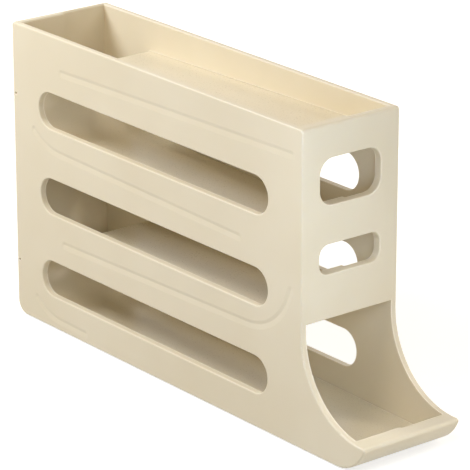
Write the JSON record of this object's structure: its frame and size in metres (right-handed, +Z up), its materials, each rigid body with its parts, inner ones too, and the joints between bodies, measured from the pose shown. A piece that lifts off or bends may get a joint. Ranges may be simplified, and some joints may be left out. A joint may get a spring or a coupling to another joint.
{
  "type": "rolling egg dispenser",
  "caption": "Slim tiered egg dispenser: two half shells around zigzag ramps that roll eggs from an open top down to a catch lip.",
  "frame": {"origin": "middle of the footprint, on the surface that the foot pads stand on", "axes": "+X forward to the catch lip, +Y to the right half shell, +Z up to the open top"},
  "size_m": [0.3554, 0.076, 0.203],
  "materials": {
    "cream_plastic": "satin moulded polypropylene, warm cream",
    "foot_rubber": "matt pale silicone rubber"
  },
  "bodies": {
    "root": {"left_shell": "cream_plastic", "right_shell": "cream_plastic", "top_ramp": "cream_plastic", "second_ramp": "cream_plastic", "third_ramp": "cream_plastic", "bottom_ramp": "cream_plastic", "rear_left_foot_pad": "foot_rubber", "rear_right_foot_pad": "foot_rubber", "front_left_foot_pad": "foot_rubber", "front_right_foot_pad": "foot_rubber"}
  },
  "joints": []
}
